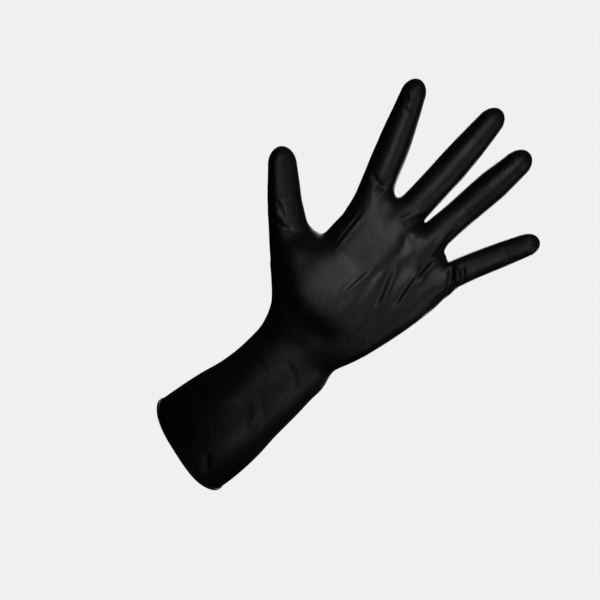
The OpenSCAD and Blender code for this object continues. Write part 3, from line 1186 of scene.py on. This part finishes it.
@dataclass
class Groups:
    """Shader groups that the finishes share.

    Attributes:
        surface: Gives the film its grain, orange peel and dull bloom.
    """

    surface: bpy.types.NodeTree | None = None

    def build(self) -> None:
        """Builds the groups."""
        tree = bpy.data.node_groups.new("film_surface", "ShaderNodeTree")
        add_sockets(tree, {"Vector": "Vector", "Colour": "Color", "Bloom": "Color", "Smooth": "Float",
                           "Dull": "Float", "Grain": "Float", "Peel": "Float"},
                    {"Colour": "Color", "Roughness": "Float", "Height": "Float"})
        nodes = tree.nodes
        inp, out = nodes.new("NodeGroupInput"), nodes.new("NodeGroupOutput")

        def noise(scale: float, detail: float) -> bpy.types.Node:
            """Adds a noise texture on the group's vector.

            Args:
                scale: Its lumps to a metre.
                detail: Its number of finer layers.

            Returns:
                The texture's node.
            """
            node = nodes.new("ShaderNodeTexNoise")
            node.inputs["Scale"].default_value = scale
            node.inputs["Detail"].default_value = detail
            wire(tree, (inp, "Vector", node, "Vector"))
            return node

        patch, grain, peel = noise(55.0, 4.0), noise(4200.0, 2.0), noise(620.0, 3.0)
        mix = nodes.new("ShaderNodeMix")
        mix.data_type = "RGBA"
        rough = nodes.new("ShaderNodeMapRange")
        rough.inputs["From Min"].default_value, rough.inputs["From Max"].default_value = 0.3, 0.7
        wire(tree, (patch, "Fac", mix, "Factor"), (inp, "Colour", mix, "A"), (inp, "Bloom", mix, "B"),
             (mix, "Result", out, "Colour"), (patch, "Fac", rough, "Value"),
             (inp, "Smooth", rough, "To Min"), (inp, "Dull", rough, "To Max"),
             (rough, "Result", out, "Roughness"))
        fine, broad, both = (nodes.new("ShaderNodeMath") for _ in range(3))
        for node, source, size in ((fine, grain, "Grain"), (broad, peel, "Peel")):
            node.operation = "MULTIPLY"
            wire(tree, (source, "Fac", node, 0), (inp, size, node, 1))
        both.operation = "ADD"
        wire(tree, (fine, 0, both, 0), (broad, 0, both, 1), (both, 0, out, "Height"))
        self.surface = tree


# ---- The glove ----------------------------------------------------------------------------


@dataclass
class Glove:
    """The glove: its film, divided at the joints, and the bead at its cuff.

    Attributes:
        film: The film.
        division: How it is divided.
        skin: Its material.
        bead_radius: Radius of the bead's thick roll, in millimetres.
    """

    film: Film
    division: Division
    skin: bpy.types.Material
    bead_radius: float = 0.75

    # The bead's rolls: radius in bead radii, place outwards in the same, and height in millimetres.
    ROLLS = ((1.0, 0.0, 0.1), (0.5, 0.62, 1.15))

    def make(self) -> None:
        """Builds every piece of the glove."""
        self.film.draw()
        regions, label, weights = self.division.label()
        for number, region in enumerate(regions):
            self.make_region(region, self.film.quads[label == number], weights.get(region.name))
        self.make_bead()

    def make_region(self, region: Region, quads: Array, weight: Array | None) -> None:
        """Makes one piece of the film as a closed thin wall.

        Args:
            region: The region.
            quads: Its faces.
            weight: Its share of the second body's motion, by the film's vertices.
        """
        used, outer = compact(quads, len(self.film.points))
        count = len(used)
        out_points, normals = self.film.points[used], self.film.normals[used]
        points = np.concatenate([out_points, out_points - normals * self.film.wall])
        a, b = self.film.edges(outer)
        rim = np.stack([b, a, a + count, b + count], axis=1)
        faces = np.concatenate([outer, outer[:, ::-1] + count, rim])
        mesh = bpy.data.meshes.new(region.name)
        mesh.from_pydata((points * MM).tolist(), [], faces.tolist())
        mesh.shade_smooth()
        mesh.normals_split_custom_set_from_vertices(np.concatenate([normals, -normals]).tolist())
        mesh.materials.append(self.skin)
        piece = add_object(region.name, mesh)
        if len(region.bodies) == 1:
            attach(piece, region.bodies[0])
        else:
            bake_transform(piece, *region.bodies, start=tuple(region.start), end=tuple(region.end))
            if weight is not None:
                share = np.tile(weight[used], 2)
                mesh.attributes["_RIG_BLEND"].data.foreach_set("value", share.astype(np.float32))
        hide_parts(*region.nodes)
        LOG.info("%s: %d faces on %s", region.name, len(faces), " and ".join(region.bodies))

    def make_bead(self) -> None:
        """Makes the rolled bead, which follows the cuff's edge in one thick and one thin roll."""
        a, b = self.film.edges(self.film.quads)
        follow = dict(zip(a.tolist(), b.tolist()))
        loop, at = [], int(a[0])
        for _ in range(len(a)):
            loop.append(at)
            at = follow[at]
        edge = self.film.points[loop]
        out = unit_rows((edge - edge.mean(axis=0)) * vec(1, 1, 0))
        sunk = 0.35
        points, lines, radii = [], [], []
        for share, aside, above in self.ROLLS:
            first = len(points) * len(edge)
            points.append(edge + out * (aside - sunk) * self.bead_radius + vec(0, 0, above))
            lines += [(first + i, first + (i + 1) % len(edge)) for i in range(len(edge))]
            radii += [self.bead_radius * share * MM] * len(edge)
        mesh = bpy.data.meshes.new("cuff_roll_path")
        mesh.from_pydata((np.concatenate(points) * MM).tolist(), lines, [])
        mesh.attributes.new("thickness", "FLOAT", "POINT").data.foreach_set("value", radii)
        piece = RollTree().apply("cuff_roll", mesh, self.skin)
        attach(piece, "cuff")
        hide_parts("cuff_bead")
        LOG.info("cuff_roll: %d faces on cuff", len(piece.data.polygons))


@dataclass
class RollTree:
    """Geometry nodes that sweep a round section along paths.

    Attributes:
        sides: Number of sides of the section.
    """

    sides: int = 12

    def build(self) -> bpy.types.NodeTree:
        """Builds the tree with its named inputs.

        Returns:
            The tree.
        """
        tree = bpy.data.node_groups.new("film_roll", "GeometryNodeTree")
        add_sockets(tree, {"Geometry": "Geometry", "Sides": "Int", "Material": "Material"},
                    {"Geometry": "Geometry"})
        inp, out, path, sweep, section, real, width, coat = (tree.nodes.new(kind) for kind in (
            "NodeGroupInput", "NodeGroupOutput", "GeometryNodeMeshToCurve", "GeometryNodeCurveToMesh",
            "GeometryNodeCurvePrimitiveCircle", "GeometryNodeRealizeInstances",
            "GeometryNodeInputNamedAttribute", "GeometryNodeSetMaterial"))
        width.data_type = "FLOAT"
        width.inputs["Name"].default_value = "thickness"
        section.inputs["Radius"].default_value = 1.0
        wire(tree, (inp, "Geometry", path, "Mesh"), (inp, "Sides", section, "Resolution"),
             (path, "Curve", sweep, "Curve"), (section, "Curve", sweep, "Profile Curve"),
             (width, "Attribute", sweep, "Scale"), (sweep, "Mesh", real, "Geometry"),
             (real, "Geometry", coat, "Geometry"), (inp, "Material", coat, "Material"),
             (coat, "Geometry", out, "Geometry"))
        return tree

    def apply(self, name: str, path: bpy.types.Mesh, skin: bpy.types.Material) -> bpy.types.Object:
        """Sweeps the paths and gives back a plain mesh object.

        Args:
            name: Name of the piece.
            path: The paths, as edges with a thickness at each point.
            skin: The material.

        Returns:
            The piece.
        """
        tree = self.build()
        guide = add_object(name + "_guide", path)
        modifier = guide.modifiers.new("roll", "NODES")
        modifier.node_group = tree
        values = {"Sides": self.sides, "Material": skin}
        for item in tree.interface.items_tree:
            if item.in_out == "INPUT" and item.name in values:
                modifier[item.identifier] = values[item.name]
        graph = bpy.context.evaluated_depsgraph_get()
        mesh = bpy.data.meshes.new_from_object(guide.evaluated_get(graph))
        bpy.data.objects.remove(guide)
        mesh.name = name
        shell = bmesh.new()
        shell.from_mesh(mesh)
        bmesh.ops.recalc_face_normals(shell, faces=shell.faces)
        shell.to_mesh(mesh)
        shell.free()
        mesh.shade_smooth()
        return add_object(name, mesh)


# ---- The studio ---------------------------------------------------------------------------


@dataclass
class Studio:
    """Camera, light and floor.

    Attributes:
        aim: Point that the camera looks at, in millimetres.
        distance: Distance of the camera from it.
        tilt: How far the camera looks down, in degrees.
        up: Direction of the picture's upper edge in the frame.
        span: Width that the camera sees at the aim.
        sensor: Width of the camera's sensor, in millimetres.
        pale: Colour in which the camera sees the floor and the surroundings.
        floor_glow: Colour in which the floor lights the glove.
        ambient: Colour in which the surroundings light it.
        lamp: Colour of the lights.
        soft: Share of each beam over which it fades.
        floor_half: Half the floor's width.
        floor_height: Height of the floor.
    """

    aim: tuple[float, float, float] = (-32.8, 0.0, 111.5)
    distance: float = 800.0
    tilt: float = 7.0
    up: tuple[float, float, float] = (-0.8134, 0.0, 0.5816)
    span: float = 377.2
    sensor: float = 36.0
    pale: tuple[float, float, float] = (0.871, 0.871, 0.871)
    floor_glow: tuple[float, float, float] = (0.02, 0.02, 0.021)
    ambient: tuple[float, float, float] = (0.045, 0.045, 0.047)
    lamp: tuple[float, float, float] = (0.97, 0.95, 1.0)
    soft: float = 0.7
    floor_half: float = 3000.0
    floor_height: float = -12.0

    # Name, place, target, radius, angle of the beam and power of each light.
    LIGHTS = (("palm_light", (-110, -740, 470), (-40, -15, 156), 90, 11.5, 7.2),
              ("finger_light", (-50, -800, 90), (-50, -10, 240), 120, 19.0, 3.5),
              ("side_light", (540, -500, 330), (-20, 0, 110), 300, 60.0, 2.1),
              ("back_light_left", (-350, 850, 400), (-30, 0, 140), 200, 60.0, 7.0),
              ("back_light_right", (300, 850, 300), (-30, 0, 140), 200, 60.0, 7.0))

    def look(self, thing: bpy.types.Object, place: Array, target: Array, up: Array) -> None:
        """Places a camera or light and turns it to its target.

        Args:
            thing: The camera or light.
            place: Its place, in millimetres.
            target: The point it faces.
            up: Direction that is up for it.
        """
        back = unit(place - target)
        right = unit(np.cross(up, back))
        top = np.cross(back, right)
        matrix = Matrix.Identity(4)
        for k, axis in enumerate((right, top, back)):
            for i in range(3):
                matrix[i][k] = axis[i]
        for i in range(3):
            matrix[i][3] = place[i] * MM
        thing.matrix_world = matrix

    def spot(self, name: str, place: Array, target: Array, size: float, cone: float,
             power: float) -> None:
        """Adds a soft round light.

        Args:
            name: Its name.
            place: Its place, in millimetres.
            target: The point it faces.
            size: Its radius.
            cone: Angle of its beam, in degrees.
            power: Its power, in watts.
        """
        data = bpy.data.lights.new(name, "SPOT")
        data.shadow_soft_size = size * MM
        data.spot_size = math.radians(cone)
        data.spot_blend = self.soft
        data.energy = power
        data.color = self.lamp
        self.look(add_object(name, data), place, target, vec(0, 0, 1))

    @staticmethod
    def split(tree: bpy.types.NodeTree, lit: bpy.types.Node, shown: bpy.types.Node,
              output: str) -> None:
        """Shows the camera one shader and lets another light the scene.

        Args:
            tree: The tree of both.
            lit: The shader that the scene's light meets.
            shown: The shader that the camera sees.
            output: Name of the tree's output node.
        """
        seen_by, mix = (tree.nodes.new(kind) for kind in ("ShaderNodeLightPath", "ShaderNodeMixShader"))
        wire(tree, (seen_by, "Is Camera Ray", mix, "Fac"), (lit, 0, mix, 1), (shown, 0, mix, 2),
             (mix, 0, tree.nodes[output], "Surface"))

    def lay_floor(self) -> None:
        """Lays a plain pale floor a little below the glove."""
        paint = bpy.data.materials.new("floor_pale")
        paint.use_nodes = True
        nodes = paint.node_tree.nodes
        nodes.remove(nodes["Principled BSDF"])
        shine, dull = (nodes.new(kind) for kind in ("ShaderNodeEmission", "ShaderNodeBsdfDiffuse"))
        shine.inputs["Color"].default_value = (*self.pale, 1.0)
        dull.inputs["Color"].default_value = (*self.floor_glow, 1.0)
        self.split(paint.node_tree, dull, shine, "Material Output")
        corners = [(x * self.floor_half, y * self.floor_half, self.floor_height)
                   for x, y in ((-1, -1), (1, -1), (1, 1), (-1, 1))]
        mesh = bpy.data.meshes.new("floor")
        mesh.from_pydata((np.array(corners) * MM).tolist(), [], [(0, 1, 2, 3)])
        mesh.materials.append(paint)
        floor = add_object("floor", mesh)

    def make(self) -> None:
        """Adds the camera, lights, floor and pale surroundings."""
        aim = vec(*self.aim)
        data = bpy.data.cameras.new("camera")
        data.sensor_width = self.sensor
        data.lens = self.sensor * self.distance / self.span
        data.clip_start = 0.01
        camera = add_object("camera", data)
        t = math.radians(self.tilt)
        place = aim + self.distance * vec(0, -math.cos(t), math.sin(t))
        self.look(camera, place, aim, vec(*self.up))
        bpy.context.scene.camera = camera
        for name, place, target, *rest in self.LIGHTS:
            self.spot(name, vec(*place), vec(*target), *rest)
        self.lay_floor()
        world = bpy.data.worlds.new("studio")
        bpy.context.scene.world = world
        world.use_nodes = True
        back = world.node_tree.nodes["Background"]
        pale = world.node_tree.nodes.new("ShaderNodeBackground")
        back.inputs["Color"].default_value = (*self.ambient, 1)
        pale.inputs["Color"].default_value = (*self.pale, 1.0)
        self.split(world.node_tree, back, pale, "World Output")
        bpy.context.scene.view_settings.view_transform = "Standard"
        LOG.info("studio ready")


# ---- Building -----------------------------------------------------------------------------


def hand() -> HandForm:
    """The hand that fills the glove, with the frame's joints.

    Returns:
        The hand's form.
    """
    digits = [
        Digit("thumb", 33.2, (16.0, 13.1, 10.4, 8.9), (1.12, 0.98, 0.85, 0.8),
              (1.6, 0.9, -1.2, -2.0), square=2.6, roll=-20.0),
        Digit("index", 23.7, (10.6, 10.2, 9.0, 7.9), (1.1, 0.95, 0.9, 0.85), (-2.2, -2.0, -1.4, -0.8)),
        Digit("middle", 25.7, (10.4, 10.0, 9.3, 7.9), (1.1, 0.95, 0.9, 0.85), (-1.0, -0.9, -1.5, -2.2)),
        Digit("ring", 26.3, (10.2, 9.2, 9.6, 8.3), (1.1, 0.95, 0.9, 0.85), (-1.0, -0.9, -1.0, -1.1)),
        Digit("little", 22.9, (8.8, 8.2, 7.7, 6.9), (1.15, 0.98, 0.92, 0.87), (-0.4, -1.5, -2.1, -2.6),
              square=3.1, roll=-22.0),
    ]
    for digit in digits:
        digit.take_joints(frame["joints"])
    trunk = Loft(
        heights=[-12, 0, 14, 30, 50, 70, 80, 90, 105, 120, 140, 160, 178, 188],
        left=[-32.3, -32.3, -32.2, -31.6, -30, -31.4, -33.4, -37, -41.3, -47.2, -55.2, -59.6, -60.8, -60.4],
        right=[35.4, 35.4, 34.8, 32.8, 28.4, 24.8, 22.8, 21.2, 15.2, 15.4, 17.4, 17.8, 18.6, 17.6],
        depth=[32.3, 32.3, 31.8, 29.5, 25, 21, 19, 17.5, 16.5, 16, 15, 13.8, 12.3, 10],
        square=[2, 2, 2, 2, 2.1, 2.2, 2.2, 2.3, 2.6, 3, 3, 3, 3, 2.8],
        shift=[0] * 14)
    pads = [Pad(vec(-31, -8.0, 154), vec(20, 10.5, 44), -20.0, -10.0, 3.5),
            Pad(vec(-32, -9.5, 129), vec(20, 11.5, 19), -12.0, -13.0, 3.0),
            Pad(vec(-45, -8.5, 126), vec(19, 11.0, 14), 25.0, -18.0, 3.0),
            Pad(vec(3, -6.8, 142), vec(16, 9.6, 40), 2.0, -3.0, 2.8)]
    pads += [Pad(d.joints[0] + vec(0, 6.0, -1.0), vec(7.5, 7.2, 11.0)) for d in digits[1:]]
    webs = [Pad(vec(-58, 0, 138), vec(6, 8, 5)), Pad(vec(-3.5, -1, 191), vec(6, 8, 11)),
            Pad(vec(-9.5, -1, 196), vec(5, 7, 10))]
    return HandForm(digits, trunk, pads + webs[:1], webs[1:])


def back_creases() -> list[Crease]:
    """The tendons and the slack of the film on the back of the hand.

    Returns:
        The creases, each given by its line, height, half width and trough.
    """
    knuckles = ((-47, 172), (-32, 177), (-13, 175), (4, 168))
    tendons = [Crease([k, (0.55 * k[0] - 5, 135), (0.25 * k[0] - 6, 104)], 0.55, 3.4, 0.25, Side.BACK)
               for k in knuckles]
    rows = [
        ([(-52, 150), (-40, 143), (-27, 141)], 0.5, 2.0, 0.4),
        ([(-56, 143), (-46, 134), (-36, 128)], 0.6, 1.8, 0.5),
        ([(-58, 133), (-50, 124), (-40, 117)], 0.5, 1.8, 0.4),
        ([(12, 96), (0, 93), (-14, 95), (-26, 92)], 0.5, 1.7, 0.4),
        ([(14, 88), (2, 84), (-12, 87)], 0.45, 1.5, -0.4),
        ([(-28, 82), (-16, 78), (-4, 79)], 0.45, 1.7, 0.35),
        ([(18, 60), (6, 50), (-4, 47)], 0.4, 2.4, 0.3),
        ([(-26, 48), (-14, 36), (-8, 22)], 0.4, 2.6, 0.3),
        ([(22, 26), (12, 16), (8, 7)], 0.4, 2.0, 0.3),
    ]
    return tendons + [Crease(*row, Side.BACK) for row in rows]


def palm_creases() -> list[Crease]:
    """The folds that the film takes on the palm, and at the roots of the fingers.

    Returns:
        The creases, given like those of the back.
    """
    rows = [
        ([(-21.6, 163), (-21.4, 152), (-20, 141), (-16.8, 134)], 0.45, 1.7, 0.2),
        ([(-16.7, 177), (-9.6, 165), (-2.8, 155), (1.7, 146)], 0.8, 2.2, 0.6),
        ([(-4.9, 186), (-1.2, 177), (2.4, 167), (7.2, 156)], 0.7, 1.7, 0.6),
        ([(-7.5, 203), (-5, 193.5), (-1.4, 184), (3.1, 175)], 0.7, 1.6, 0.7),
        ([(-16.4, 219), (-13.6, 208.5), (-8.2, 194), (-6.5, 184)], 0.9, 1.7, -1.1),
        ([(-36.5, 190), (-34.9, 201), (-31.5, 209)], 0.9, 2.0, 0.8),
        ([(-54, 179), (-48.7, 160), (-44.7, 146)], 0.4, 1.2, 0.4),
        ([(-57, 176), (-51.5, 158), (-47.5, 146)], 0.35, 1.0, 0.35),
        ([(-26.2, 193), (-21, 178.5), (-19.1, 166.5), (-17.9, 153)], -0.8, 2.4),
        ([(-28.1, 203), (-27.6, 194), (-24.8, 183)], -0.7, 1.6),
        ([(-71.7, 193.8), (-62.6, 194.3), (-55.2, 196)], -1.1, 1.3, 0.5),
        ([(-61.1, 204), (-59.8, 193), (-57.7, 186)], -0.9, 1.3, 0.4),
        ([(2, 203), (10.5, 195.5), (18, 187)], -1.2, 1.6),
        ([(5, 204), (16.5, 197.5)], 1.0, 1.3),
        ([(7, 207.5), (17.5, 200.5)], -1.0, 1.3),
        ([(-85.6, 125.4), (-79, 128.5), (-70.2, 134.6)], -1.1, 1.2, 0.4),
        ([(-93.2, 137), (-84.9, 136.3), (-77.8, 133.9)], -0.7, 1.3, 0.4),
        ([(-80.7, 123.6), (-73.2, 127.9)], -0.8, 1.0, 0.3),
        ([(-90, 128), (-81.9, 130.6), (-75, 132)], -0.8, 1.0, 0.4),
        ([(-99.5, 245), (-96.5, 240), (-92.5, 239), (-90.8, 243)], 0.25, 1.1, 0.2),
        ([(-92, 232), (-83, 235.5)], -0.3, 1.5),
        ([(-61.4, 137), (-50, 143)], -0.5, 2.0),
        ([(-31, 25), (-22, 29.4), (-14, 30)], -0.5, 1.3, 0.3),
        ([(10, 16), (15, 13), (21, 8)], -0.6, 1.2, 0.3),
        ([(-10, 22), (-1, 14), (4, 6)], 0.35, 2.4, 0.2),
        ([(18, 40), (8, 52), (-4, 58)], 0.4, 2.6, 0.3),
        ([(-30, 62), (-18, 70), (-6, 72)], -0.35, 2.2),
        ([(14, 78), (2, 84), (-10, 84)], -0.35, 2.0),
    ]
    return [Crease(*row) for row in rows]


def main() -> None:
    """Builds the glove and its studio."""
    logging.basicConfig(level=logging.INFO, format="%(message)s")
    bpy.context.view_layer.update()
    Studio().make()
    groups = Groups()
    groups.build()
    skin = FilmFinish("black_film").make(groups)
    joints = {j["name"]: vec(*j["pos_m"]) / MM for j in frame["joints"]}
    form = hand()
    creases = palm_creases() + back_creases()
    for digit in form.digits:
        creases += digit.joint_creases() + [digit.nail()]
    film = Film(form, creases)
    Glove(film, Division(film, joints), skin).make()


if __name__ == "__main__":
    main()
